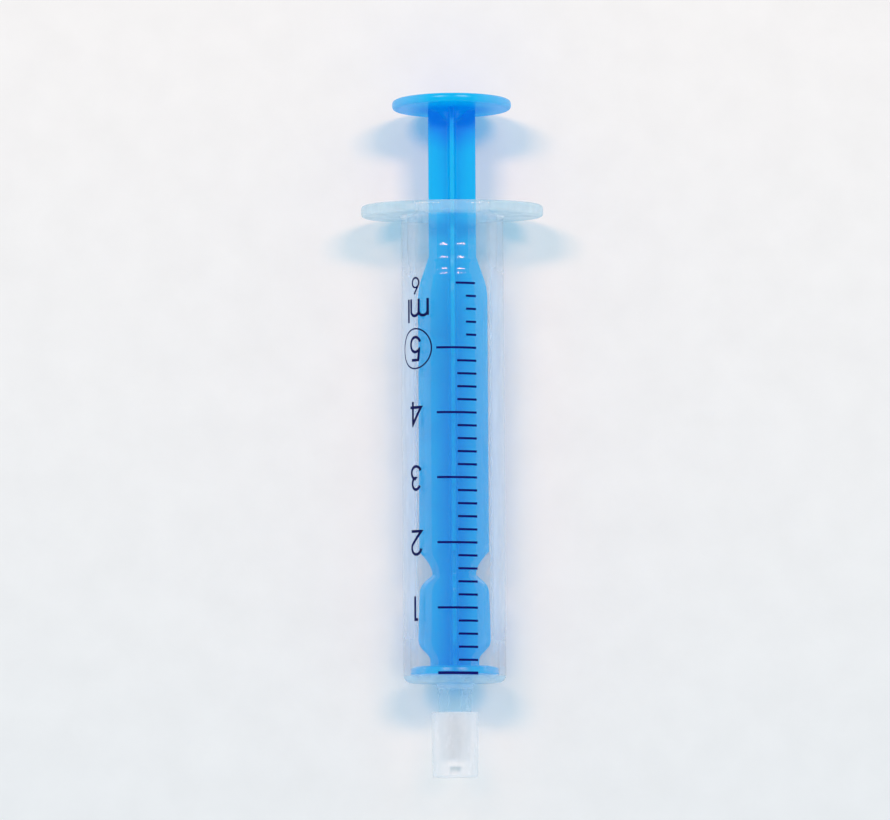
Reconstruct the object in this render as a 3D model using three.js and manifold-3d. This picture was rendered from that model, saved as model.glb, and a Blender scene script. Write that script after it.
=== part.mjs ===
// An oral dosing syringe lying on its side: a clear barrel, a one-piece plunger and a push-on tip cap.
// Millimetres, +Z up, the syringe's axis along Y with the thumb end at +Y.
// Distances along the axis are measured from the thumb side of the finger flange, positive towards the thumb.
import * as THREE from "three";
import { mergeVertices } from "three/addons/utils/BufferGeometryUtils.js";
import Module from "manifold-3d";

// Barrel
const BORE_R = 6.03;
const BARREL_R = 6.95;
const BARREL_END = -64.93;
const FLOOR = BARREL_END + 0.86; // inner face of the end wall
const END_ROUND = 1.3;
const FLANGE_THICK = 1.5;
const FLANGE_HALF_SPAN = 12.4;
const FLANGE_HALF_HEIGHT = 7.75;
const FLANGE_END_R = 6.1;

// Retention ring just past the 6 ml mark, and the wider mouth behind it
const RING_START = -9.87;
const RING_END = -7.87;
const RING_HEIGHT = 0.16;
const RING_THUMB_SLOPE = 0.4;
const RING_TIP_SLOPE = 0.7;
const MOUTH_STEP = -6.07;
const MOUTH_STEP_SLOPE = 0.2;
const MOUTH_R = 6.15;
const MOUTH_LEAD_IN = 0.35;

// Nozzle: a boss, a collar and a slip taper
const BOSS_R = 2.62;
const BOSS_END = BARREL_END - 0.3;
const COLLAR_R = 2.34;
const COLLAR_START = BARREL_END - 0.6;
const COLLAR_END = BARREL_END - 1.3;
const TAPER_START = BARREL_END - 1.5;
const TAPER_START_R = 2.22;
const NOZZLE_TIP = BARREL_END - 10.3;
const NOZZLE_TIP_R = 1.95;
const CHANNEL_R = 1;
const CHANNEL_FUNNEL_R = 1.5;

// Tip cap
const CAP_R = 3.15;
const CAP_MOUTH = -68.87;
const CAP_END = -77.67;
const CAP_FIT = 0.05; // radial gap to the nozzle
const CAP_BORE_END = CAP_END + 2.2;
const CAP_MOUTH_FLARE = 0.25;
const CAP_FLARE_DEPTH = 0.4;
const CAP_MOUTH_EDGE = 0.15;
const CAP_END_EDGE = 0.3;
const CAP_DRAFT = 0.05; // how much narrower the closed end is, on the radius
const GATE_R = 0.75;
const GATE_DEPTH = 1.5;

// Thumb disc, with the cone that joins it to the ribs
const THUMB_R = 8.12;
const THUMB_FACE = 14.45;
const THUMB_INNER = 13.23;
const THUMB_EDGE = 0.45;
const HUB_R = 3.1;
const HUB_WAIST_R = 1.55;
const HUB_LENGTH = 2;
const HUB_WAIST = THUMB_INNER - 0.8;

// Plunger ribs: half widths, and the distances where they change
const RIB_THICK = 0.9;
const STEM_HALF = 3.22;
const STEM_END = -6.97;
const SHOULDER_HALF = 4.28;
const SHOULDER = -10.07;
const BLADE_HALF = 4.72;
const BLADE_START = -12.87;
const BLADE_END = -47.17;
const WAIST_HALF = 2.95;
const WAIST = -50.27;
const BULGE_START = -52.87;
const BULGE_HALF = 4.9;
const BULGE_END = -59.07;
const NECK_HALF = 3.3;
const NECK = -61.87;

// Seal: a disc that fills the bore at its front edge
const SEAL_R = BORE_R - 0.05;
const SEAL_FRONT = -63.77; // on the 0 ml mark
const SEAL_BACK = -62.62;
const SEAL_LIP = 0.15;
const SEAL_SLOPE = { inset: 0.35, y: SEAL_BACK - 0.5 }; // where the back turns from the lip into the shoulder
const SEAL_SHOULDER = { inset: 1, y: SEAL_BACK - 0.2 };

// The rib's outline from the thumb disc to the seal. A point with leave and arrive ends a curve: they are
// the steps, in half width and along the axis, from the curve's two ends to its control points.
const RIB_OUTLINE = [
  { half: STEM_HALF, y: STEM_END },
  { half: SHOULDER_HALF, y: SHOULDER },
  { half: BLADE_HALF, y: BLADE_START, leave: [0.24, -0.7], arrive: [0, 1.3] },
  { half: BLADE_HALF, y: BLADE_END },
  { half: WAIST_HALF, y: WAIST, leave: [-1.12, -1.1], arrive: [0, 0.9] },
  { half: BLADE_HALF, y: BULGE_START, leave: [0.1, -0.4], arrive: [0, 1.6] },
  { half: BULGE_HALF, y: BULGE_END },
  { half: NECK_HALF, y: NECK, leave: [0, -1.4], arrive: [0, 1] },
  { half: NECK_HALF, y: (SEAL_BACK + SEAL_FRONT) / 2 },
];

// Facets
const ROUND = 48; // sections round the barrel and the seal, the same so that they slide facet in facet
const CURVE_STEPS = 6;
const ARC_STEPS = 15;

const wasm = await Module();
wasm.setup();

const clearPlastic = new THREE.MeshStandardMaterial({ color: 0xdce8ef, roughness: 0.25, metalness: 0 });
const bluePlastic = new THREE.MeshStandardMaterial({ color: 0x1fa6f5, roughness: 0.4, metalness: 0 });
const milkyPlastic = new THREE.MeshStandardMaterial({ color: 0xe2eaf0, roughness: 0.45, metalness: 0 });

// A closed mesh with only its positions, as a solid that can be joined and cut.
function solidOf(geometry) {
  const bare = geometry.clone();
  bare.deleteAttribute("normal");
  bare.deleteAttribute("uv");
  const merged = mergeVertices(bare, 1e-4);
  return new wasm.Manifold(
    new wasm.Mesh({
      numProp: 3,
      vertProperties: merged.attributes.position.array,
      triVerts: new Uint32Array(merged.index.array),
    }),
  );
}

function geometryOf(solid) {
  const { vertProperties, triVerts } = solid.getMesh();
  const geometry = new THREE.BufferGeometry();
  geometry.setAttribute("position", new THREE.BufferAttribute(vertProperties, 3));
  geometry.setIndex(new THREE.BufferAttribute(triVerts, 1));
  geometry.computeVertexNormals();
  return geometry;
}

// A solid of revolution about Y from [radius, distance along the axis] points, rising on the outside.
function turned(points) {
  const profile = points.map(([radius, y]) => new THREE.Vector2(radius, y));
  return solidOf(new THREE.LatheGeometry(profile, ROUND));
}

// A plate across the axis, of an outline in X and Z, from distance `from` down to `from - thick`.
function plateAcross(shape, from, thick) {
  const extrusion = { depth: thick, bevelEnabled: false, curveSegments: ARC_STEPS };
  const plate = new THREE.ExtrudeGeometry(shape, extrusion);
  return solidOf(plate.rotateX(Math.PI / 2).translate(0, from, 0));
}

// Points of an arc about [cr, cy], between two angles in degrees from the radial direction.
function arc(cr, cy, radius, from, to, steps) {
  return Array.from({ length: steps + 1 }, (_, i) => {
    const angle = THREE.MathUtils.degToRad(from + ((to - from) * i) / steps);
    return [cr + radius * Math.cos(angle), cy + radius * Math.sin(angle)];
  });
}

// The finger flange's outline: an oval of two tight end arcs and two slack side arcs, with a hole whose edge
// lies inside the barrel's wall. The side arcs have an odd number of facets, so the lowest one lies level.
function flangeOutline() {
  const endX = FLANGE_HALF_SPAN - FLANGE_END_R;
  const rise = FLANGE_HALF_HEIGHT - FLANGE_END_R;
  const sideR = FLANGE_END_R + (endX ** 2 + rise ** 2) / (2 * rise);
  const sideZ = sideR - FLANGE_HALF_HEIGHT;
  const turn = Math.atan2(sideZ, endX);
  const outline = new THREE.Shape();
  outline.absarc(endX, 0, FLANGE_END_R, -turn, turn);
  outline.absarc(0, -sideZ, sideR, turn, Math.PI - turn);
  outline.absarc(-endX, 0, FLANGE_END_R, Math.PI - turn, Math.PI + turn);
  outline.absarc(0, sideZ, sideR, Math.PI + turn, 2 * Math.PI - turn);
  const hole = new THREE.Path().absarc(0, 0, (MOUTH_R + BARREL_R) / 2, 0, 2 * Math.PI, true);
  outline.holes.push(hole);
  return outline;
}

function barrelShell() {
  const ringR = BORE_R - RING_HEIGHT;
  const outside = [
    [CHANNEL_R, NOZZLE_TIP],
    [NOZZLE_TIP_R, NOZZLE_TIP],
    [TAPER_START_R, TAPER_START],
    [COLLAR_R, COLLAR_END],
    [COLLAR_R, COLLAR_START],
    [BOSS_R, BOSS_END],
    [BOSS_R, BARREL_END],
    ...arc(BARREL_R - END_ROUND, BARREL_END + END_ROUND, END_ROUND, -90, 0, 4),
    [BARREL_R, 0],
  ];
  const inside = [
    [MOUTH_R + MOUTH_LEAD_IN, 0],
    [MOUTH_R, -MOUTH_LEAD_IN],
    [MOUTH_R, MOUTH_STEP],
    [BORE_R, MOUTH_STEP - MOUTH_STEP_SLOPE],
    [BORE_R, RING_END],
    [ringR, RING_END - RING_THUMB_SLOPE],
    [ringR, RING_START + RING_TIP_SLOPE],
    [BORE_R, RING_START],
    [BORE_R, FLOOR],
    [CHANNEL_FUNNEL_R, FLOOR],
    [CHANNEL_R, BARREL_END],
  ];
  return turned([...outside, ...inside, outside[0]]);
}

function barrel() {
  return barrelShell().add(plateAcross(flangeOutline(), 0, FLANGE_THICK));
}

// One side of the rib's outline, from inside the thumb disc down to inside the seal; side is 1 or -1.
function ribSide(side) {
  const shape = new THREE.Shape();
  const top = (THUMB_FACE + THUMB_INNER) / 2;
  shape.moveTo(0, top);
  let last = { half: STEM_HALF, y: top };
  shape.lineTo(side * last.half, last.y);
  for (const { half, y, leave, arrive } of RIB_OUTLINE) {
    if (leave) {
      const [h1, y1] = [last.half + leave[0], last.y + leave[1]];
      const [h2, y2] = [half + arrive[0], y + arrive[1]];
      shape.bezierCurveTo(side * h1, y1, side * h2, y2, side * half, y);
    } else {
      shape.lineTo(side * half, y);
    }
    last = { half, y };
  }
  return shape.getPoints(CURVE_STEPS);
}

// One rib, flat in the XY plane.
function rib() {
  const outline = new THREE.Shape([...ribSide(1), ...ribSide(-1).slice(1).reverse()]);
  const plate = new THREE.ExtrudeGeometry(outline, { depth: RIB_THICK, bevelEnabled: false });
  return plate.translate(0, 0, -RIB_THICK / 2);
}

function thumbDisc() {
  return turned([
    [0, THUMB_INNER - HUB_LENGTH],
    [RIB_THICK / 2, THUMB_INNER - HUB_LENGTH],
    [HUB_WAIST_R, HUB_WAIST],
    [HUB_R, THUMB_INNER],
    [THUMB_R - THUMB_EDGE, THUMB_INNER],
    [THUMB_R, THUMB_INNER + THUMB_EDGE],
    [THUMB_R, THUMB_FACE - THUMB_EDGE],
    [THUMB_R - THUMB_EDGE, THUMB_FACE],
    [0, THUMB_FACE],
  ]);
}

// The seal's back rounds down from the lip into the ribs.
function seal() {
  return turned([
    [0, SEAL_FRONT],
    [SEAL_R, SEAL_FRONT],
    [SEAL_R, SEAL_FRONT + SEAL_LIP],
    [SEAL_R - SEAL_SLOPE.inset, SEAL_SLOPE.y],
    [SEAL_R - SEAL_SHOULDER.inset, SEAL_SHOULDER.y],
    [NECK_HALF, SEAL_BACK],
    [0, SEAL_BACK],
  ]);
}

function plunger() {
  const flatRib = solidOf(rib());
  const uprightRib = solidOf(rib().rotateY(Math.PI / 2));
  return thumbDisc().add(flatRib).add(uprightRib).add(seal());
}

// The cap's bore follows the nozzle's taper, a running gap wider.
function capBore(y) {
  return CAP_FIT + THREE.MathUtils.mapLinear(y, NOZZLE_TIP, TAPER_START, NOZZLE_TIP_R, TAPER_START_R);
}

function tipCap() {
  const endR = CAP_R - CAP_DRAFT;
  return turned([
    [0, CAP_END + GATE_DEPTH],
    [GATE_R, CAP_END + GATE_DEPTH],
    [GATE_R, CAP_END],
    [endR - CAP_END_EDGE, CAP_END],
    [endR, CAP_END + CAP_END_EDGE],
    [CAP_R, CAP_MOUTH - CAP_MOUTH_EDGE],
    [CAP_R - CAP_MOUTH_EDGE, CAP_MOUTH],
    [capBore(CAP_MOUTH) + CAP_MOUTH_FLARE, CAP_MOUTH],
    [capBore(CAP_MOUTH), CAP_MOUTH - CAP_FLARE_DEPTH],
    [capBore(CAP_BORE_END), CAP_BORE_END],
    [0, CAP_BORE_END],
  ]);
}

// The origin is under the middle of the length, level with the thumb disc's lowest point.
function place(name, solid, material) {
  const mesh = new THREE.Mesh(geometryOf(solid), material);
  mesh.name = name;
  mesh.position.set(0, -(THUMB_FACE + CAP_END) / 2, THUMB_R);
  return mesh;
}

const syringe = new THREE.Group();
syringe.add(place("barrel", barrel(), clearPlastic));
syringe.add(place("plunger", plunger(), bluePlastic));
syringe.add(place("tip_cap", tipCap(), milkyPlastic));

export default syringe;
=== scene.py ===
"""A capped oral dosing syringe lying on a pale floor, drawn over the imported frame.

The frame is in metres, with +Z up and the syringe's axis along Y, thumb end at +Y. Here a shape is given
in millimetres from the axis: x across, z up, and a along it, from the thumb side of the finger flange
and positive towards the thumb. placed() turns those into the frame's metres.
"""
import math

import bmesh
import bpy
import numpy as np
from mathutils import Matrix, Quaternion, Vector


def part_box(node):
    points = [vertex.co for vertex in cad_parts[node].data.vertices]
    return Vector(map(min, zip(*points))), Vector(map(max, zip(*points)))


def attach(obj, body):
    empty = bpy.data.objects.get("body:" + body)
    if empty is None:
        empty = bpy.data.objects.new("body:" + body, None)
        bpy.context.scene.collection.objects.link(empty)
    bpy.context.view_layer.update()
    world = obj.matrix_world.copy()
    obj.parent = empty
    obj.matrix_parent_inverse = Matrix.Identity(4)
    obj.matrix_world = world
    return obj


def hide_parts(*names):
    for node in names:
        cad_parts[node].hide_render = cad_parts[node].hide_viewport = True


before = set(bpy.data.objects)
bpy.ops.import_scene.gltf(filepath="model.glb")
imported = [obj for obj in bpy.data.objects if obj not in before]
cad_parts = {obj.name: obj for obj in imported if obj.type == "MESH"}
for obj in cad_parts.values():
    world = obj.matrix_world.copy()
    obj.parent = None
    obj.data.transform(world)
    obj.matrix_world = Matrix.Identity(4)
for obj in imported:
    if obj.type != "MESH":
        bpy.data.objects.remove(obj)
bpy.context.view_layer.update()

MM = 0.001
BARREL_LOW, BARREL_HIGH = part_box("barrel")
PLUNGER_LOW, PLUNGER_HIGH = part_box("plunger")
CAP_LOW, CAP_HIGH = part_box("tip_cap")
FLANGE_Y = BARREL_HIGH.y
AXIS_Z = (CAP_LOW.z + CAP_HIGH.z) / 2


def along(y):
    """A frame y as a distance along the axis from the flange, in millimetres."""
    return (y - FLANGE_Y) / MM


def frame_y(a):
    """A distance along the axis from the flange, in millimetres, as a frame y."""
    return FLANGE_Y + a * MM


# Barrel
BORE_R = 6.03
BARREL_R = 6.95
NOZZLE_TIP = along(BARREL_LOW.y)
NOZZLE_LENGTH = 10.3
BARREL_END = NOZZLE_TIP + NOZZLE_LENGTH
END_WALL = 0.86
FLOOR = BARREL_END + END_WALL
END_ROUND = 1.3
FLANGE_THICK = 1.5
FLANGE_HALF_SPAN = BARREL_HIGH.x / MM
FLANGE_HALF_HEIGHT = (BARREL_HIGH.z - AXIS_Z) / MM
FLANGE_END_R = 6.1
FLANGE_EDGE = 0.45
FLANGE_FILLET = 0.35
MOUTH_R = 6.15
MOUTH_LEAD_IN = 0.35
MOUTH_STEP = -6.07
MOUTH_STEP_SLOPE = 0.25
RING_START = -9.87
RING_END = -7.87
RING_HEIGHT = 0.16
RING_THUMB_SLOPE = 0.35
RING_TIP_SLOPE = 0.7
GROOVE_LENGTH = 0.32
GROOVE_DEPTH = 0.05
BOSS_R = 2.62
BOSS_START = BARREL_END - 0.3
COLLAR_R = 2.34
COLLAR_END = BARREL_END - 0.6
TAPER_START = BARREL_END - 1.5
TAPER_START_R = 2.22
TAPER_STEP = 0.2
NOZZLE_TIP_R = 1.95
CHANNEL_R = 1
CHANNEL_FUNNEL_R = 1.5

# Plunger
THUMB_R = PLUNGER_HIGH.x / MM
THUMB_FACE = along(PLUNGER_HIGH.y)
THUMB_INNER = THUMB_FACE - 1.22
THUMB_EDGE = 0.5
HUB_LENGTH = 2
HUB_R = 2.85
HUB_WAIST_R = 1.4
HUB_FLARE = 0.3
HUB_FADE = 0.6
RIB_THICK = 0.9
RIB_EDGE_THICK = 0.55
RIB_CORNER = 0.12
RIB_ROOT = 0.35
RIB_FOOT = 0.25
STEM_HALF = 3.22
STEM_END = -6.97
SHOULDER_HALF = 4.28
SHOULDER = -10.07
BLADE_HALF = 4.72
BLADE_START = -12.87
BLADE_END = -47.17
WAIST_HALF = 2.95
WAIST = -50.27
BULGE_START = -52.87
BULGE_HALF = 4.9
BULGE_END = -59.07
NECK_HALF = 3.3
NECK = -61.87
SEAL_FRONT = along(PLUNGER_LOW.y)
SEAL_BACK = SEAL_FRONT + 1.15
SEAL_R = 5.98
SEAL_SHOULDER = 0.9
SEAL_CROWN = 0.05
SEAL_LIP_R = BORE_R + 0.02
SEAL_LIP_HEIGHT = 0.85
SEAL_LIP_SLOPE = 0.15

# Cap
CAP_R = CAP_HIGH.x / MM
CAP_MOUTH = along(CAP_HIGH.y)
CAP_END = along(CAP_LOW.y)
CAP_BORE_END = CAP_END + 2.2
CAP_DRAFT = 0.05
CAP_FIT = 0.05
CAP_MOUTH_FLARE = 0.25
CAP_FLARE_DEPTH = 0.4
GATE_R = 0.75
GATE_DEPTH = 1.5

# Scale print: distances round the barrel run from its top line towards +x
ZERO_MARK = SEAL_FRONT
ML = 8.753
MARKS_PER_ML = 5
LAST_ML = 6
NUMBERED_ML = 5
INK_THICK = 0.02
INK_SINK = 0.004
MARK_WIDTH = 0.3
STROKE_WIDTH = 0.38
ZERO_WIDTH = 0.4
PRINT_SKEW = math.radians(0.6)
SHORT_MARK = (0.54, 3.12)
LONG_MARK = (-2.24, 3.12)
UPPER_MARK = (1.76, 3.12)
LAST_MARK = (0.4, 3.0)
NUMERAL_HEIGHT = 3.5
NUMERAL_WIDTH = 2.35
NUMERAL_ANGLE = math.radians(-47)
SMALL_NUMERAL = 0.71
SMALL_STROKE = 0.24
SMALL_ANGLE = math.radians(-46.3)
SMALL_DROP = 0.25
DIAL_R = 2.7
DIAL_WIDTH = 0.2
UNIT_RISE = 5.6
UNIT_M_ANGLE = math.radians(-41.5)
UNIT_M_HALF_WIDTH = 1.5
UNIT_M_HALF_HEIGHT = 1.15
UNIT_L_ANGLE = math.radians(-58.6)
UNIT_L_DROP = 0.45
UNIT_L_HALF_HEIGHT = 1.6

# Mesh fineness
BARREL_SECTIONS = 192
CAP_SECTIONS = 96
CORNER_STEPS = 4
CURVE_STEPS = 10
OCTANT_STEPS = 12
ROOT_STEPS = OCTANT_STEPS - 5
PLUNGER_SECTIONS = 8 * OCTANT_STEPS
STROKE_STEP = 0.12

# Clear plastic. Its zones run from the nozzle's tip, which the cap covers, to the flange. Their milk tints
# paint
# light: the cyan of the blue plunger behind the flange and the end wall, and a darker blue painted shade on
# the nozzle
PLASTIC_IOR = 1.49
WHITE = (0.96, 0.98, 1.0)
CLEAR_SOLID = (0.97, 0.985, 0.995), (0.98, 0.99, 1.0)
CLEAR_ROUGHNESS = 0.03, 0.06
CLEAR_SOLID_SHARE = 0.1
CLEAR_TINT = (0.985, 0.992, 1.0)
CLEAR_GLOSS = 0.07
HAZE_SPREAD = 0.8, 1.2
ZONE_BLEND = 0.3
ZONE_HAZE = {"tip": 0.03, "nozzle": 0.28, "boss": 0.35, "end": 0.3, "wall": 0.01, "flange": 0.25}
# painted light: cyan where the blue plunger shows through the flange and end wall, painted shade on the
# nozzle
ZONE_MILK_AND_PAINTED_TINT = {
    "tip": WHITE,
    "nozzle": (0.5, 0.75, 0.88),
    "boss": (0.85, 0.95, 1.0),
    "end": (0.6, 0.9, 1.0),
    "wall": WHITE,
    "flange": (0.75, 0.95, 1.0),
}
ZONE_SHADE = {
    "tip": (0.9, 0.93, 0.96),
    "nozzle": (0.9, 0.93, 0.96),
    "boss": (0.9, 0.93, 0.96),
    "end": (0.93, 0.95, 0.97),
    "wall": (0.86, 0.9, 0.94),
    "flange": (0.34, 0.44, 0.5),
}
# painted light: whiter haze along the barrel's sides, for the bright floor that the curved wall bends into
# view
SIDE_PAINTED_LIGHT = 0.42
SIDE_PAINTED_LIGHT_ACROSS = 4.8 * MM, 5.4 * MM
SIDE_PAINTED_LIGHT_ALONG = [
    (FLOOR + 0.5, 0.0),
    (FLOOR + 9, SIDE_PAINTED_LIGHT),
    (RING_START - 4, SIDE_PAINTED_LIGHT),
    (MOUTH_STEP, 0.1),
]

# Blue plastic
BLUE = (0.0, 0.58, 0.96), (0.0, 0.63, 1.0)
# painted light: a paler colour at the thumb disc's rim, for light through the thin disc and off its edge
RIM_LIGHT_COLOUR = (1.0, 0.8, 1.0)
RIM_LIGHT_SHARE = 0.17
# painted shade: deeper blue under the thumb disc round the hub and along the blade's middle
PAINTED_SHADE_BLUE = (0.0, 0.36, 0.95)
HUB_SHADE_REACH = 6, 3.3
BLADE_SHADE_ACROSS = 2.5 * MM, 0.5 * MM
BLADE_SHADE_FULL = -30
BLADE_SHADE_SHARE = 0.15, 0.6
BLUE_ROUGHNESS = 0.17, 0.27
BLUE_GLOW = (0.0, 0.75, 1.0)
BLUE_GLOW_SHARE = 0.35
BLUE_SHADE = (0.0, 0.15, 0.5)

# Milky plastic
MILKY_TINT = (0.99, 0.993, 0.998)
MILKY_GLOSS = 0.2, 0.3
MILKY_HAZE = 0.38, 0.43
MILKY_COLOUR = (0.98, 0.98, 1.0)
MILKY_SHADE = (0.95, 0.96, 0.97)
# painted shade: a darker milk round the bottom of the gate's recess in the cap's closed end
GATE_SHADE_SHARE = 0.4
GATE_SHADE_COLOUR = (0.42, 0.56, 0.62)
GATE_SHADE_REACH = 1.3, 0.7

# Ink and card
INK = (0.001, 0.003, 0.06), (0.002, 0.005, 0.09)
INK_ROUGHNESS = 0.55, 0.7
INK_TRACE = (0.0, 0.1, 0.85)
MARK_THINNESS = 0.42
NUMERAL_THINNESS = 0.18
CARD = (0.88, 0.885, 0.89), (0.91, 0.915, 0.92)

# Light in the plastics
SCATTER_ONWARDS = 0.35
FACING_GLOSS = 0.04
NOISE_LOW = 0.3
NOISE_HIGH = 0.7

# Camera and light
CAMERA_DISTANCE = 700
CAMERA_AIM = (-1.13, -27.87, 0)
CAMERA_TILT = math.radians(5)
CAMERA_ROLL = math.radians(-0.33)
CAMERA_LENS = 208.6
FLOOR_HALF = 3.0
FLOOR_GAP = 0.02
LAMP_DISTANCE = 600
LAMP_LENGTH = 200
LAMP_WIDTH = 60
LAMP_POWER = 1.31
LAMP_COLOUR = (1.0, 0.543, 0.29)
SKY_HORIZON = (0.75, 0.92, 1.0)
SKY_ZENITH = (0.165, 0.507, 0.715)


# ---------------------------------------------------------------- materials


class Nodes:
    """The node tree of a new material, with the few kinds of node that the finishes share."""

    def __init__(self, name):
        self.material = bpy.data.materials.new(name)
        self.material.use_nodes = True
        self.tree = self.material.node_tree
        self.shader = self.tree.nodes["Principled BSDF"]
        self.output = self.tree.nodes["Material Output"]
        self.place = self.tree.nodes.new("ShaderNodeTexCoord").outputs["Object"]

    def set(self, socket, value):
        """Links a socket to another one's value, or gives it a number, a vector or a (red, green, blue)."""
        if isinstance(value, bpy.types.NodeSocket):
            self.tree.links.new(value, socket)
        elif socket.type == "RGBA":
            socket.default_value = (*value, 1)
        else:
            socket.default_value = value

    def fill(self, node, inputs):
        """Sets a node's inputs by name, with _ for a space."""
        for name, value in inputs.items():
            self.set(node.inputs[name.replace("_", " ")], value)

    def add(self, kind, **inputs):
        node = self.tree.nodes.new(kind)
        self.fill(node, inputs)
        return node

    def add_in_order(self, kind, values):
        """A node whose first inputs are set in their order, for kinds whose inputs share one name."""
        node = self.tree.nodes.new(kind)
        for socket, value in zip(node.inputs, values):
            self.set(socket, value)
        return node

    def principled(self, **inputs):
        """The material's own shader with these inputs."""
        self.fill(self.shader, inputs)
        return self.shader.outputs["BSDF"]

    def noise(self, size, stretch=(1, 1, 1), detail=4.0):
        """Noise whose features are about `size` millimetres, and `stretch` times that in each direction."""
        mapping = self.add("ShaderNodeMapping", Vector=self.place, Scale=tuple(1 / s for s in stretch))
        place = mapping.outputs["Vector"]
        noise = self.add("ShaderNodeTexNoise", Vector=place, Scale=1 / (size * MM), Detail=detail)
        return noise.outputs["Fac"]

    def ramp(self, value, start, end, low=0.0, high=1.0):
        """A number from low to high as value goes from start to end."""
        limits = dict(From_Min=start, From_Max=end, To_Min=low, To_Max=high)
        return self.add("ShaderNodeMapRange", Value=value, **limits).outputs["Result"]

    def between(self, noise, low, high):
        """A number from low to high as noise goes through its usual values."""
        return self.ramp(noise, NOISE_LOW, NOISE_HIGH, low, high)

    def blend(self, noise, low, high):
        """A colour from low to high as noise goes through its usual values."""
        ramp = self.add("ShaderNodeValToRGB", Fac=noise)
        ends = ramp.color_ramp.elements
        ends[0].position, ends[0].color = NOISE_LOW, (*low, 1)
        ends[1].position, ends[1].color = NOISE_HIGH, (*high, 1)
        return ramp.outputs["Color"]

    def bump(self, height, depth):
        """A normal from a height of up to `depth` millimetres."""
        return self.add("ShaderNodeBump", Height=height, Distance=depth * MM).outputs["Normal"]

    def mix(self, factor, first, second):
        return self.add_in_order("ShaderNodeMixShader", (factor, first, second)).outputs["Shader"]

    def mix_colour(self, factor, first, second):
        return self.add_in_order("ShaderNodeMixRGB", (factor, first, second)).outputs["Color"]

    def math(self, operation, *values):
        node = self.add_in_order("ShaderNodeMath", values)
        node.operation = operation
        return node.outputs["Value"]

    def coordinate(self, direction):
        """The place along the frame's "X", "Y" or "Z"."""
        return self.add("ShaderNodeSeparateXYZ", Vector=self.place).outputs[direction]

    def near(self, point, far, close):
        """A number from 0 to 1 as the distance to a point (x, a, z) falls from far to close millimetres."""
        away = self.add_in_order("ShaderNodeVectorMath", (self.place, tuple(placed(point))))
        away.operation = "DISTANCE"
        return self.ramp(away.outputs["Value"], far * MM, close * MM)

    def along_axis(self, stops):
        """A colour that changes along the syringe's axis, from stops of (a, colour) with a rising."""
        start, end = frame_y(stops[0][0]), frame_y(stops[-1][0])
        ramp = self.add("ShaderNodeValToRGB", Fac=self.ramp(self.coordinate("Y"), start, end))
        elements = ramp.color_ramp.elements
        elements[0].color = (*stops[0][1], 1)
        elements[1].color = (*stops[-1][1], 1)
        for a, colour in stops[1:-1]:
            elements.new((frame_y(a) - start) / (end - start)).color = (*colour, 1)
        return ramp.outputs["Color"]

    def sheet(self, tint, roughness, normal):
        """A thin clear sheet: light goes straight through, and its gloss grows towards grazing views."""
        straight = self.add("ShaderNodeBsdfTransparent", Color=tint).outputs["BSDF"]
        gloss = self.add("ShaderNodeBsdfGlossy", Roughness=roughness, Normal=normal).outputs["BSDF"]
        facing = self.add("ShaderNodeLayerWeight", Blend=0.5, Normal=normal).outputs["Facing"]
        grazing = self.math("POWER", facing, 5.0)
        share = self.math("MULTIPLY_ADD", grazing, 1 - FACING_GLOSS, FACING_GLOSS)
        return self.mix(share, straight, gloss)

    def milk(self, colour):
        """Light scattered evenly, most of it back and the rest onwards."""
        back = self.add("ShaderNodeBsdfDiffuse", Color=colour).outputs["BSDF"]
        onwards = self.add("ShaderNodeBsdfTranslucent", Color=colour).outputs["BSDF"]
        return self.mix(SCATTER_ONWARDS, back, onwards)

    def let_lamps_through(self, shader, colour):
        """Shadow rays pass the shader as a tinted clear sheet, so what is behind it stays lit."""
        clear = self.add("ShaderNodeBsdfTransparent", Color=colour).outputs["BSDF"]
        shadow = self.tree.nodes.new("ShaderNodeLightPath").outputs["Is Shadow Ray"]
        return self.mix(shadow, shader, clear)

    def show(self, shader):
        self.tree.links.new(shader, self.output.inputs["Surface"])
        return self.material


def grey(value):
    return (value, value, value)


def barrel_zones(nodes, zones):
    """The colour of each of the barrel's zones, blended into each other along the axis."""
    return nodes.along_axis([
        (NOZZLE_TIP, zones["tip"]),
        (CAP_MOUTH - ZONE_BLEND, zones["tip"]),
        (CAP_MOUTH, zones["nozzle"]),
        (COLLAR_END - ZONE_BLEND, zones["nozzle"]),
        (COLLAR_END, zones["boss"]),
        (BARREL_END - ZONE_BLEND / 3, zones["boss"]),
        (BARREL_END, zones["end"]),
        (FLOOR, zones["end"]),
        (FLOOR + ZONE_BLEND, zones["wall"]),
        (-FLANGE_THICK - ZONE_BLEND, zones["wall"]),
        (-FLANGE_THICK, zones["flange"]),
        (0, zones["flange"]),
    ])


def side_painted_light(nodes):
    """The painted light on the barrel's two sides, where its curved wall is seen edge on from above: a whiter
    haze for the bright floor that the wall bends into view.
    """
    aside = nodes.math("ABSOLUTE", nodes.coordinate("X"))
    beside_plunger = nodes.ramp(aside, *SIDE_PAINTED_LIGHT_ACROSS)
    along_wall = nodes.along_axis([(a, grey(share)) for a, share in SIDE_PAINTED_LIGHT_ALONG])
    return nodes.math("MULTIPLY", beside_plunger, along_wall)


def barrel_haze_and_painted_light(nodes, clouds):
    """How milky the barrel is in its zones, with the painted light at its sides, a little more or less in the
    clouds.
    """
    zones = barrel_zones(nodes, {zone: grey(share) for zone, share in ZONE_HAZE.items()})
    both = nodes.math("ADD", zones, side_painted_light(nodes))
    return nodes.math("MULTIPLY", both, nodes.between(clouds, *HAZE_SPREAD))


def solid_clear(nodes, clouds, normal):
    """The shader of solid clear plastic, which bends the light."""
    return nodes.principled(
        Base_Color=nodes.blend(clouds, *CLEAR_SOLID),
        Roughness=nodes.between(clouds, *CLEAR_ROUGHNESS),
        Normal=normal,
        IOR=PLASTIC_IOR,
        Transmission_Weight=1,
    )


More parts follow.
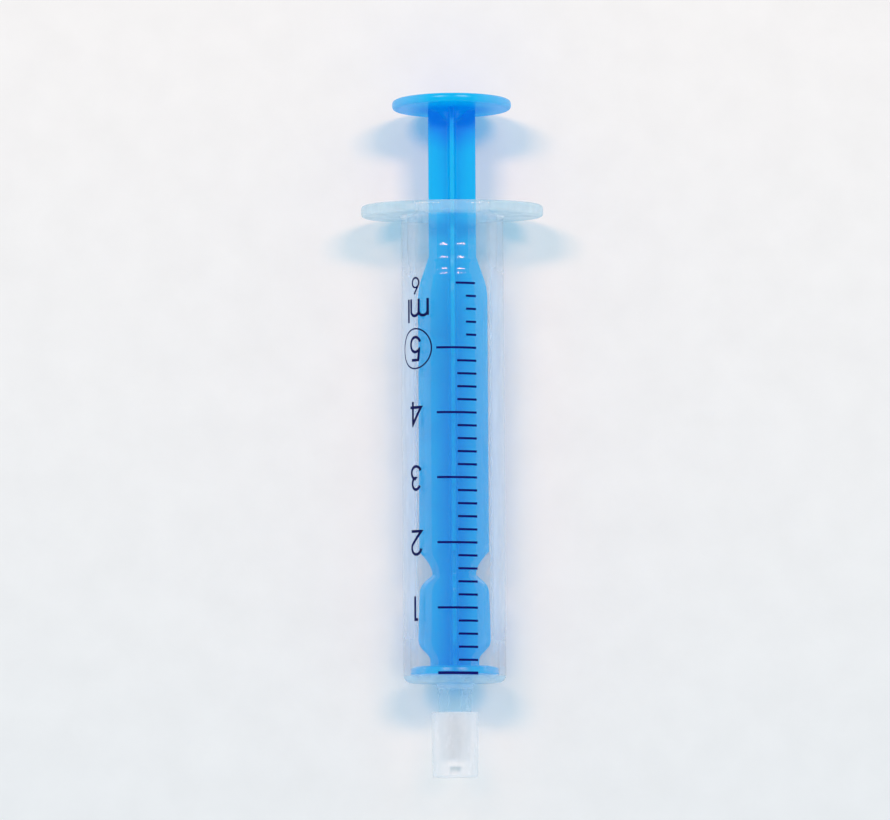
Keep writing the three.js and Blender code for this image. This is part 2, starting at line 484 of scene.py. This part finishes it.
def clear_plastic():
    """Clear moulded polypropylene: most light goes straight through its thin wall and a little bends as in
    solid plastic, under a milky haze that gathers in soft clouds and in the thick places. The haze's tints
    paint the blue plunger behind the flange and end wall and a shade on the nozzle, and its whiter sides
    paint the bright floor seen through the curved wall."""
    nodes = Nodes("clear_plastic")
    clouds = nodes.noise(2.5, stretch=(1, 4, 1))
    normal = nodes.bump(nodes.noise(1.2), 0.001)
    sheet = nodes.sheet(CLEAR_TINT, CLEAR_GLOSS, normal)
    clear = nodes.mix(CLEAR_SOLID_SHARE, sheet, solid_clear(nodes, clouds, normal))
    # the milk colours paint light: plunger blue seen through the flange and end wall, shade on the nozzle
    cloudy = nodes.mix(barrel_haze_and_painted_light(nodes, clouds), clear, nodes.milk(barrel_zones(nodes, ZONE_MILK_AND_PAINTED_TINT)))
    return nodes.show(nodes.let_lamps_through(cloudy, barrel_zones(nodes, ZONE_SHADE)))


def rim_painted_light(nodes):
    """1 at the rim of the thumb disc, where a paler colour paints the light through the thin plastic and off
    its edge, fading to 0 towards its hub.
    """
    aside = nodes.math("ABSOLUTE", nodes.coordinate("X"))
    rim = nodes.ramp(aside, HUB_R * MM, 0.85 * THUMB_R * MM)
    disc = nodes.ramp(nodes.coordinate("Y"), frame_y(THUMB_INNER - 0.2), frame_y(THUMB_INNER - 0.02))
    return nodes.math("MULTIPLY", rim, disc)


def blade_painted_shade(nodes):
    """How much painted shade deepens the blade's blue: most along its middle, beside the tall upright ribs.
    """
    aside = nodes.math("ABSOLUTE", nodes.coordinate("X"))
    middle = nodes.ramp(aside, *BLADE_SHADE_ACROSS, *BLADE_SHADE_SHARE)
    blade = nodes.ramp(nodes.coordinate("Y"), frame_y(STEM_END), frame_y(BLADE_SHADE_FULL))
    return nodes.math("MULTIPLY", blade, middle)


def blue_colour(nodes):
    """Blue with faint flow streaks along the ribs, with painted light at the thumb disc's rim, and painted
    shade under the disc round the hub and along the blade's middle.
    """
    streaks = nodes.noise(0.8, stretch=(1, 9, 1))
    # painted light at the thumb disc's rim
    rim_light = nodes.math("MULTIPLY", rim_painted_light(nodes), RIM_LIGHT_SHARE)
    colour = nodes.mix_colour(rim_light, nodes.blend(streaks, *BLUE), RIM_LIGHT_COLOUR)
    # painted shade along the blade's middle
    colour = nodes.mix_colour(blade_painted_shade(nodes), colour, PAINTED_SHADE_BLUE)
    # painted shade under the thumb disc, round the hub
    return nodes.mix_colour(nodes.near((0, THUMB_INNER, 0), *HUB_SHADE_REACH), colour, PAINTED_SHADE_BLUE)


def blue_plastic():
    """Bright blue moulded polypropylene: satin, with a fine grain, and thin enough to glow."""
    nodes = Nodes("blue_plastic")
    grain = nodes.noise(0.12)
    satin = nodes.principled(
        Base_Color=blue_colour(nodes),
        Roughness=nodes.between(grain, *BLUE_ROUGHNESS),
        Normal=nodes.bump(grain, 0.003),
        IOR=PLASTIC_IOR,
        Specular_IOR_Level=0.4,
    )
    glow = nodes.add("ShaderNodeBsdfTranslucent", Color=BLUE_GLOW).outputs["BSDF"]
    return nodes.show(nodes.let_lamps_through(nodes.mix(BLUE_GLOW_SHARE, satin, glow), BLUE_SHADE))


def milky_plastic():
    """Natural polyethylene: translucent and satin, cloudier in some places than in others, with painted shade
    round the bottom of the recess that the mould's gate left in its closed end."""
    nodes = Nodes("milky_plastic")
    clouds = nodes.noise(1.6, stretch=(1, 2, 1))
    normal = nodes.bump(nodes.noise(1.2), 0.001)
    clear = nodes.sheet(MILKY_TINT, nodes.between(clouds, *MILKY_GLOSS), normal)
    # painted shade round the bottom of the gate's recess
    gate_shade = nodes.near((0, CAP_END + GATE_DEPTH, 0), *GATE_SHADE_REACH)
    haze = nodes.math("MULTIPLY_ADD", gate_shade, GATE_SHADE_SHARE, nodes.between(clouds, *MILKY_HAZE))
    cloudy = nodes.mix(haze, clear, nodes.milk(nodes.blend(gate_shade, MILKY_COLOUR, GATE_SHADE_COLOUR)))
    return nodes.show(nodes.let_lamps_through(cloudy, MILKY_SHADE))


def scale_ink(name, thinness):
    """Printed navy ink: dull, a little uneven in colour, and thin enough to pass some blue."""
    nodes = Nodes(name)
    patches = nodes.noise(0.3)
    dull = nodes.principled(
        Base_Color=nodes.blend(patches, *INK),
        Roughness=nodes.between(patches, *INK_ROUGHNESS),
        Normal=nodes.bump(patches, 0.005),
        Specular_IOR_Level=0.15,
    )
    trace = nodes.add("ShaderNodeBsdfTransparent", Color=INK_TRACE).outputs["BSDF"]
    return nodes.show(nodes.mix(thinness, dull, trace))


def floor_finish():
    """A pale matt card with a barely seen mottle."""
    nodes = Nodes("pale_card")
    return nodes.show(nodes.principled(
        Base_Color=nodes.blend(nodes.noise(6, detail=6.0), *CARD),
        Normal=nodes.bump(nodes.noise(0.5), 0.01),
        Roughness=0.7,
        Specular_IOR_Level=0.2,
    ))


# ---------------------------------------------------------------- mesh making


def placed(points):
    """Points (x, a, z) in millimetres from the axis and the flange, as points of the frame in metres."""
    return np.asarray(points, float) * MM + np.array([0, FLANGE_Y, AXIS_Z])


def finish_mesh(mesh, smooth_angle):
    """Joins the points that meet, turns every face outwards and keeps only the real edges sharp."""
    bm = bmesh.new()
    bm.from_mesh(mesh)
    bmesh.ops.remove_doubles(bm, verts=bm.verts, dist=1e-4 * MM)
    bmesh.ops.recalc_face_normals(bm, faces=bm.faces)
    for face in bm.faces:
        face.smooth = True
    bm.to_mesh(mesh)
    bm.free()
    mesh.set_sharp_from_angle(angle=math.radians(smooth_angle))


def add_piece(name, points, faces, material, body, smooth_angle=50):
    """A piece with vertices at points (x, a, z), riding on a body, under the name it is given."""
    mesh = bpy.data.meshes.new(name)
    mesh.from_pydata(placed(points).tolist(), [], faces)
    finish_mesh(mesh, smooth_angle)
    mesh.materials.append(material)
    piece = bpy.data.objects.new(name, mesh)
    bpy.context.scene.collection.objects.link(piece)
    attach(piece, body)
    return piece


def weight_normals(piece):
    """Lets the flat faces decide the shading, so that only the rounded edges look round."""
    modifier = piece.modifiers.new("even_shading", "WEIGHTED_NORMAL")
    modifier.keep_sharp = True


def skin_faces(rings, sections, closed):
    """Quads between neighbouring rings of `sections` points, and from the last to the first if closed."""
    faces = []
    for ring in range(rings if closed else rings - 1):
        here = ring * sections
        there = (ring + 1) % rings * sections
        for i in range(sections):
            j = (i + 1) % sections
            faces.append((here + i, here + j, there + j, there + i))
    return faces


def replace_node(node, name, rings, material, closed=False):
    """Replaces a CAD node by a piece whose surface runs through rings of as many points (x, a, z) each."""
    rings = np.asarray(rings, float)
    count, sections = rings.shape[:2]
    faces = skin_faces(count, sections, closed)
    piece = add_piece(name, rings.reshape(-1, 3), faces, material, node)
    weight_normals(piece)
    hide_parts(node)


def turns(sections):
    return np.arange(sections) * 2 * math.pi / sections


def softened(corners, sections):
    """A profile's rings of (radius, a), each with one point per section. A corner is (radius or radii, a,
    cut): it is rounded off from `cut` before it to `cut` after it, and stays a corner where cut is 0."""
    ones = np.ones(sections)
    points = [np.stack([radius * ones, a * ones], axis=-1) for radius, a, _ in corners]
    rings = []
    for i, (_, _, cut) in enumerate(corners):
        here = points[i]
        if cut == 0:
            rings.append(here)
            continue
        before = points[i - 1] - here
        after = points[(i + 1) % len(points)] - here
        start = here + before * cut / np.linalg.norm(before, axis=-1, keepdims=True)
        end = here + after * cut / np.linalg.norm(after, axis=-1, keepdims=True)
        for t in np.linspace(0, 1, CORNER_STEPS + 1):
            rings.append((1 - t) ** 2 * start + 2 * t * (1 - t) * here + t**2 * end)
    return rings


def revolved(rings, sections):
    """Rings of (radius, a) as rings of (x, a, z) round the axis."""
    cosine = np.cos(turns(sections))
    sine = np.sin(turns(sections))
    profiles = (ring.T for ring in rings)
    return [np.stack([radius * cosine, a, radius * sine], axis=-1) for radius, a in profiles]


def curve(points, steps=CURVE_STEPS):
    """Points of the Bezier curve with these four points, without its first one."""
    p0, p1, p2, p3 = (np.asarray(p, float) for p in points)
    made = []
    for t in np.linspace(0, 1, steps + 1)[1:]:
        s = 1 - t
        made.append(s**3 * p0 + 3 * s**2 * t * p1 + 3 * s * t**2 * p2 + t**3 * p3)
    return made


# ---------------------------------------------------------------- barrel


def flange_radii(sections):
    """How far the oval flange reaches in each direction: two tight end arcs joined by two slack side arcs."""
    end_x = FLANGE_HALF_SPAN - FLANGE_END_R
    rise = FLANGE_HALF_HEIGHT - FLANGE_END_R
    side_r = FLANGE_END_R + (end_x**2 + rise**2) / (2 * rise)
    side_z = side_r - FLANGE_HALF_HEIGHT
    across = np.abs(np.cos(turns(sections)))
    up = np.abs(np.sin(turns(sections)))
    on_end = end_x * across + np.sqrt(np.maximum(FLANGE_END_R**2 - (end_x * up) ** 2, 0))
    on_side = np.sqrt(side_r**2 - (side_z * across) ** 2) - side_z * up
    join = math.atan2(side_z, end_x)
    join_slope = FLANGE_END_R * math.sin(join) / (end_x + FLANGE_END_R * math.cos(join))
    return np.where(up < join_slope * across, on_end, on_side)


def barrel_outside(rim):
    """The nozzle from its tip, the barrel's end and wall, and the flange."""
    return [
        (CHANNEL_R, NOZZLE_TIP, 0.15),
        (NOZZLE_TIP_R, NOZZLE_TIP, 0.2),
        (TAPER_START_R, TAPER_START, 0.08),
        (COLLAR_R, TAPER_START + TAPER_STEP, 0.08),
        (COLLAR_R, COLLAR_END, 0.1),
        (BOSS_R, BOSS_START, 0.1),
        (BOSS_R, BARREL_END, 0.1),
        (BARREL_R, BARREL_END, END_ROUND),
        (BARREL_R, -FLANGE_THICK, FLANGE_FILLET),
        (rim, -FLANGE_THICK, FLANGE_EDGE),
        (rim, 0, FLANGE_EDGE),
    ]


def barrel_inside():
    """The mouth, the retention ring, the bore, the end wall and the channel."""
    ring_r = BORE_R - RING_HEIGHT
    return [
        (MOUTH_R + MOUTH_LEAD_IN, 0, 0.12),
        (MOUTH_R, -MOUTH_LEAD_IN, 0.15),
        (MOUTH_R, MOUTH_STEP + GROOVE_LENGTH, 0.1),
        (MOUTH_R + GROOVE_DEPTH, MOUTH_STEP, 0.08),
        (BORE_R, MOUTH_STEP - MOUTH_STEP_SLOPE, 0.1),
        (BORE_R, RING_END + GROOVE_LENGTH, 0.1),
        (BORE_R + GROOVE_DEPTH, RING_END, 0.08),
        (ring_r, RING_END - RING_THUMB_SLOPE, 0.12),
        (ring_r, RING_START + RING_TIP_SLOPE, 0.25),
        (BORE_R, RING_START, 0.25),
        (BORE_R, FLOOR, 0.25),
        (CHANNEL_FUNNEL_R, FLOOR, 0.15),
        (CHANNEL_R, BARREL_END, 0.2),
    ]


def make_barrel():
    corners = barrel_outside(flange_radii(BARREL_SECTIONS)) + barrel_inside()
    rings = revolved(softened(corners, BARREL_SECTIONS), BARREL_SECTIONS)
    replace_node("barrel", "clear_barrel", rings, clear_plastic(), closed=True)


# ---------------------------------------------------------------- plunger


def rib_root(half_thick, core):
    """Half of the hollow between two ribs, from a rib's side to the diagonal: a fillet, or the core."""
    centre = half_thick + RIB_ROOT
    side_end = max(core, math.hypot(centre, half_thick))
    points = []
    for angle in np.linspace(math.asin(half_thick / side_end), math.pi / 4, ROOT_STEPS):
        reach = centre * (math.cos(angle) + math.sin(angle))
        fillet = reach - math.sqrt(max(reach**2 - 2 * centre**2 + RIB_ROOT**2, 0))
        radius = max(core, fillet)
        points.append((radius * math.cos(angle), radius * math.sin(angle)))
    return points


def rib_octant(half, core):
    """An eighth of the ribs' section, from the middle of a rib's edge to the diagonal between two ribs."""
    edge_thick = RIB_EDGE_THICK / 2
    inset = RIB_CORNER * (1 - math.sqrt(0.5))
    root = rib_root(RIB_THICK / 2, core)
    edge = [
        (half, 0),
        (half, edge_thick - RIB_CORNER),
        (half - inset, edge_thick - inset),
        (half - RIB_CORNER, edge_thick),
    ]
    outer, inner = np.array(edge[-1]), np.array(root[0])
    side = [tuple(outer + (inner - outer) * share) for share in (1 / 3, 2 / 3)]
    return edge + side + root


def rib_section(half, core, a):
    """A section of the four ribs, `half` from the axis to each rib's edge, with a core of radius `core`."""
    octant = rib_octant(half, core)
    quadrant = octant + [(z, x) for x, z in reversed(octant[1:-1])]
    points = []
    for cosine, sine in ((1, 0), (0, 1), (-1, 0), (0, -1)):
        points += [(cosine * x - sine * z, a, sine * x + cosine * z) for x, z in quadrant]
    return points


def hub():
    """Sections of the cone that joins the thumb disc to the ribs, as (half width, core, a)."""
    foot = THUMB_INNER - HUB_LENGTH
    flare = [
        (HUB_R, THUMB_INNER),
        (HUB_WAIST_R, THUMB_INNER - HUB_FLARE),
        (HUB_WAIST_R, foot + HUB_FADE),
        (RIB_ROOT, foot),
    ]
    return [(STEM_HALF, HUB_R, THUMB_INNER)] + [(STEM_HALF, core, a) for core, a in curve(flare)]


def bend(start, leave, arrive, end):
    """A curve of the ribs' outline, after its start. leave and arrive are the steps from its two ends to its
    control points. All are (half width, a)."""
    return curve([start, np.add(start, leave), np.add(end, arrive), end])


def rib_outline():
    """The ribs' half width along the axis, from the stem to the seal, as (half width, a)."""
    shoulder = (SHOULDER_HALF, SHOULDER)
    blade_start = (BLADE_HALF, BLADE_START)
    blade_end = (BLADE_HALF, BLADE_END)
    waist = (WAIST_HALF, WAIST)
    bulge_start = (BLADE_HALF, BULGE_START)
    bulge_end = (BULGE_HALF, BULGE_END)
    outline = [(STEM_HALF, STEM_END), shoulder]
    outline += bend(shoulder, (0.24, -0.7), (0, 1.3), blade_start)
    outline += [blade_end]
    outline += bend(blade_end, (-1.12, -1.1), (0, 0.9), waist)
    outline += bend(waist, (0.1, -0.4), (0, 1.6), bulge_start)
    outline += [bulge_end]
    outline += bend(bulge_end, (0, -1.4), (0, 1), (NECK_HALF, NECK))
    return outline + [(NECK_HALF, SEAL_BACK)]


def thumb_disc():
    return [
        (0, THUMB_FACE, 0),
        (THUMB_R, THUMB_FACE, THUMB_EDGE),
        (THUMB_R, THUMB_INNER, THUMB_EDGE),
        (STEM_HALF + RIB_FOOT, THUMB_INNER, 0),
    ]


def seal():
    """The disc that fills the bore, rounded behind and with a narrow lip in front."""
    return [
        (NECK_HALF + RIB_FOOT, SEAL_BACK, 0),
        (SEAL_R - SEAL_SHOULDER, SEAL_BACK - SEAL_CROWN, 0.2),
        (SEAL_LIP_R - SEAL_LIP_SLOPE, SEAL_FRONT + SEAL_LIP_HEIGHT, 0.1),
        (SEAL_LIP_R, SEAL_FRONT, 0.08),
        (0, SEAL_FRONT, 0),
    ]


def make_plunger():
    disc = revolved(softened(thumb_disc(), PLUNGER_SECTIONS), PLUNGER_SECTIONS)
    ribs = [rib_section(half, core, a) for half, core, a in hub()]
    ribs += [rib_section(half, 0, a) for half, a in rib_outline()]
    front = revolved(softened(seal(), PLUNGER_SECTIONS), PLUNGER_SECTIONS)
    rings = disc + ribs + front
    replace_node("plunger", "blue_plunger", rings, blue_plastic())


# ---------------------------------------------------------------- cap


def cap_bore(a):
    """The cap's inner radius, which follows the nozzle's taper."""
    share = (a - NOZZLE_TIP) / (TAPER_START - NOZZLE_TIP)
    return NOZZLE_TIP_R + (TAPER_START_R - NOZZLE_TIP_R) * share + CAP_FIT


def make_cap():
    corners = [
        (0, CAP_END + GATE_DEPTH, 0),
        (GATE_R, CAP_END + GATE_DEPTH, 0.1),
        (GATE_R, CAP_END, 0.12),
        (CAP_R - CAP_DRAFT, CAP_END, 0.35),
        (CAP_R, CAP_MOUTH, 0.15),
        (cap_bore(CAP_MOUTH) + CAP_MOUTH_FLARE, CAP_MOUTH, 0.1),
        (cap_bore(CAP_MOUTH), CAP_MOUTH - CAP_FLARE_DEPTH, 0.15),
        (cap_bore(CAP_BORE_END), CAP_BORE_END, 0.3),
        (0, CAP_BORE_END, 0),
    ]
    rings = revolved(softened(corners, CAP_SECTIONS), CAP_SECTIONS)
    replace_node("tip_cap", "milky_tip_cap", rings, milky_plastic())


# ---------------------------------------------------------------- scale print


def resampled(points):
    """The same line with no step longer than STROKE_STEP, so that it follows the barrel round."""
    points = np.asarray(points, float)
    made = [points[0]]
    for here, there in zip(points[:-1], points[1:]):
        steps = max(1, math.ceil(np.linalg.norm(there - here) / STROKE_STEP))
        made += [here + (there - here) * k / steps for k in range(1, steps + 1)]
    return np.array(made)


def stroke_sides(points, width, closed):
    """The two edges of a stroke of this width along points, mitred at its corners."""
    ahead = np.roll(points, -1, axis=0) - points
    behind = points - np.roll(points, 1, axis=0)
    if not closed:
        ahead[-1], behind[0] = behind[-1], ahead[0]
    ahead /= np.linalg.norm(ahead, axis=1, keepdims=True)
    behind /= np.linalg.norm(behind, axis=1, keepdims=True)
    middle = ahead + behind
    middle /= np.linalg.norm(middle, axis=1, keepdims=True)
    lengthened = 1 / np.maximum((middle * ahead).sum(axis=1, keepdims=True), 0.5)
    side = np.stack([-middle[:, 1], middle[:, 0]], axis=1) * lengthened * width / 2
    return points + side, points - side


def on_barrel(flat, radius):
    """Print points (distance round from the top line, a) as points (x, a, z) at this radius."""
    angle = flat[:, 0] / BARREL_R
    a = flat[:, 1] - flat[:, 0] * math.tan(PRINT_SKEW)
    return np.stack([radius * np.sin(angle), a, radius * np.cos(angle)], axis=1)


class Print:
    """Strokes of ink laid on the barrel, gathered into one piece."""

    def __init__(self):
        self.points = []
        self.faces = []

    def stroke(self, line, width, closed=False):
        line = resampled([*line, line[0]] if closed else line)
        line = line[:-1] if closed else line
        left, right = stroke_sides(line, width, closed)
        inner, outer = BARREL_R - INK_SINK, BARREL_R + INK_THICK
        corners = ((left, inner), (right, inner), (right, outer), (left, outer))
        edges = [on_barrel(side, radius) for side, radius in corners]
        start = len(self.points)
        self.points += np.stack(edges, axis=1).reshape(-1, 3).tolist()
        faces = skin_faces(len(line), 4, closed)
        if not closed:
            last = 4 * (len(line) - 1)
            faces += [(0, 1, 2, 3), (last, last + 1, last + 2, last + 3)]
        self.faces += [tuple(start + i for i in face) for face in faces]

    def piece(self, name, ink):
        return add_piece(name, self.points, self.faces, ink, "barrel", smooth_angle=30)


def round_at(x):
    """The distance round the barrel of a print point that lies x from the axis."""
    return BARREL_R * math.asin(x / BARREL_R)


def mark_span(mark):
    """From where to where across the axis a mark runs: long at each ml, short above the last numbered one."""
    if mark == LAST_ML * MARKS_PER_ML:
        return LAST_MARK
    if mark % MARKS_PER_ML == 0:
        return LONG_MARK
    if mark > NUMBERED_ML * MARKS_PER_ML:
        return UPPER_MARK
    return SHORT_MARK


def make_marks():
    marks = Print()
    for mark in range(LAST_ML * MARKS_PER_ML + 1):
        a = ZERO_MARK + mark * ML / MARKS_PER_ML
        start, end = (round_at(x) for x in mark_span(mark))
        marks.stroke([(start, a), (end, a)], MARK_WIDTH if mark else ZERO_WIDTH)
    marks.piece("scale_marks", scale_ink("mark_ink", MARK_THINNESS))


def bow(centre, radii, start, end, steps=18):
    """Points of an elliptic arc between two angles in degrees, anticlockwise from the right."""
    angles = np.radians(np.linspace(start, end, steps + 1))
    return [(centre[0] + radii[0] * math.cos(t), centre[1] + radii[1] * math.sin(t)) for t in angles]


def numeral_strokes(number):
    """The strokes of a numeral in a box from -1 to 1 both ways, upright."""
    if number == 1:
        return [[(-0.3, 1), (0.3, 1), (0.3, -1)]]
    if number == 2:
        return [bow((0, 0.42), (0.92, 0.58), 172, -22) + [(-0.95, -1), (1, -1)]]
    if number == 3:
        upper = bow((0, 0.5), (0.75, 0.5), 160, -90)
        lower = bow((0, -0.45), (0.92, 0.55), 90, -160)
        return [upper + lower[1:]]
    if number == 4:
        return [[(0.58, -1), (0.58, 1), (-1, -0.5), (1.15, -0.5)]]
    if number == 5:
        return [[(0.75, 1), (-0.55, 1), (-0.72, 0.1)] + bow((0, -0.35), (0.95, 0.65), 140, -160)]
    return [[(0.35, 1)] + bow((0, -0.4), (0.9, 0.6), 150, -210, 36)]


def write(sheet, strokes, centre, half_width, half_height, width=STROKE_WIDTH):
    """Draws strokes upside down, as the print is read from the thumb end, about a centre (round, a)."""
    for line in strokes:
        sheet.stroke([(centre[0] - x * half_width, centre[1] - y * half_height) for x, y in line], width)


def write_numbers(sheet, half_width, half_height):
    """The numeral at each numbered ml, and the ring round the last of them."""
    around = NUMERAL_ANGLE * BARREL_R
    for number in range(1, NUMBERED_ML + 1):
        centre = (around, ZERO_MARK + number * ML)
        write(sheet, numeral_strokes(number), centre, half_width, half_height)
    dial = bow((around, ZERO_MARK + NUMBERED_ML * ML), (DIAL_R, DIAL_R), 0, 360, 72)
    sheet.stroke(dial[:-1], DIAL_WIDTH, closed=True)


def write_last_number(sheet, half_width, half_height):
    """The small numeral just under the last mark."""
    centre = (SMALL_ANGLE * BARREL_R, ZERO_MARK + LAST_ML * ML - SMALL_DROP)
    write(sheet, numeral_strokes(LAST_ML), centre, half_width, half_height, SMALL_STROKE)


def write_unit(sheet):
    """The unit, ml: an m of three stems and two arches, and an l."""
    middle = ZERO_MARK + NUMBERED_ML * ML + UNIT_RISE
    stems = [[(-1, -1), (-1, 1)], [(0, -1), (0, 0.45)], [(1, -1), (1, 0.45)]]
    arches = [bow((side, 0.45), (0.5, 0.55), 180, 0) for side in (-0.5, 0.5)]
    write(sheet, stems + arches, (UNIT_M_ANGLE * BARREL_R, middle), UNIT_M_HALF_WIDTH, UNIT_M_HALF_HEIGHT)
    tall = (UNIT_L_ANGLE * BARREL_R, middle - UNIT_L_DROP)
    write(sheet, [[(0, -1), (0, 1)]], tall, 0, UNIT_L_HALF_HEIGHT)


def make_numerals():
    sheet = Print()
    half_width = (NUMERAL_WIDTH - STROKE_WIDTH) / 2
    half_height = (NUMERAL_HEIGHT - STROKE_WIDTH) / 2
    write_numbers(sheet, half_width, half_height)
    write_last_number(sheet, half_width * SMALL_NUMERAL, half_height * SMALL_NUMERAL)
    write_unit(sheet)
    sheet.piece("scale_numerals", scale_ink("numeral_ink", NUMERAL_THINNESS))


# ---------------------------------------------------------------- stage


def rest_slope():
    """How the floor tips up towards the nozzle, to touch both the thumb disc's rim and the barrel's end."""
    contact_span = (THUMB_FACE + THUMB_INNER) / 2 - (BARREL_END + END_ROUND)
    return math.atan2(THUMB_R - BARREL_R, contact_span)


def make_floor():
    mesh = bpy.data.meshes.new("floor")
    h = FLOOR_HALF
    mesh.from_pydata([(-h, -h, 0), (h, -h, 0), (h, h, 0), (-h, h, 0)], [], [(0, 1, 2, 3)])
    mesh.materials.append(floor_finish())
    floor = bpy.data.objects.new("floor", mesh)
    floor.location = placed((0, (THUMB_FACE + THUMB_INNER) / 2, -THUMB_R - FLOOR_GAP))
    floor.rotation_euler.x = -rest_slope()
    bpy.context.scene.collection.objects.link(floor)


def make_camera():
    aim = Vector(placed(CAMERA_AIM))
    back = Vector((0, -math.sin(CAMERA_TILT), math.cos(CAMERA_TILT)))
    camera = bpy.data.objects.new("camera", bpy.data.cameras.new("camera"))
    camera.data.lens = CAMERA_LENS
    camera.location = aim + back * CAMERA_DISTANCE * MM
    camera.rotation_mode = "QUATERNION"
    camera.rotation_quaternion = (-back).to_track_quat("-Z", "Y") @ Quaternion((0, 0, 1), CAMERA_ROLL)
    bpy.context.scene.collection.objects.link(camera)
    bpy.context.scene.camera = camera


def make_lamp(name, direction):
    """A strip lamp that lies across the syringe and faces it from this direction."""
    lamp = bpy.data.objects.new(name, bpy.data.lights.new(name, "AREA"))
    lamp.data.shape = "RECTANGLE"
    lamp.data.size = LAMP_LENGTH * MM
    lamp.data.size_y = LAMP_WIDTH * MM
    lamp.data.energy = LAMP_POWER
    lamp.data.color = LAMP_COLOUR
    away = Vector(direction).normalized()
    up = away.cross(Vector((1, 0, 0))).normalized()
    lamp.location = Vector(placed(CAMERA_AIM)) + away * LAMP_DISTANCE * MM
    lamp.rotation_mode = "QUATERNION"
    lamp.rotation_quaternion = Matrix((up.cross(away), up, away)).transposed().to_quaternion()
    bpy.context.scene.collection.objects.link(lamp)


def make_sky():
    """A plain soft sky, pale round the horizon and bluer overhead."""
    world = bpy.data.worlds.new("sky")
    world.use_nodes = True
    tree = world.node_tree
    direction = tree.nodes.new("ShaderNodeTexCoord").outputs["Generated"]
    split = tree.nodes.new("ShaderNodeSeparateXYZ")
    ramp = tree.nodes.new("ShaderNodeValToRGB")
    ramp.color_ramp.elements[0].color = (*SKY_HORIZON, 1)
    ramp.color_ramp.elements[1].color = (*SKY_ZENITH, 1)
    tree.links.new(direction, split.inputs["Vector"])
    tree.links.new(split.outputs["Z"], ramp.inputs["Fac"])
    tree.links.new(ramp.outputs["Color"], tree.nodes["Background"].inputs["Color"])
    bpy.context.scene.world = world


def make_light():
    make_lamp("lamp_left", (-0.4, 0.45, 1))
    make_lamp("lamp_right", (0.4, 0.45, 1))
    make_sky()
    bpy.context.scene.view_settings.view_transform = "Standard"


make_camera()
make_light()
make_floor()
make_barrel()
make_plunger()
make_cap()
make_marks()
make_numerals()
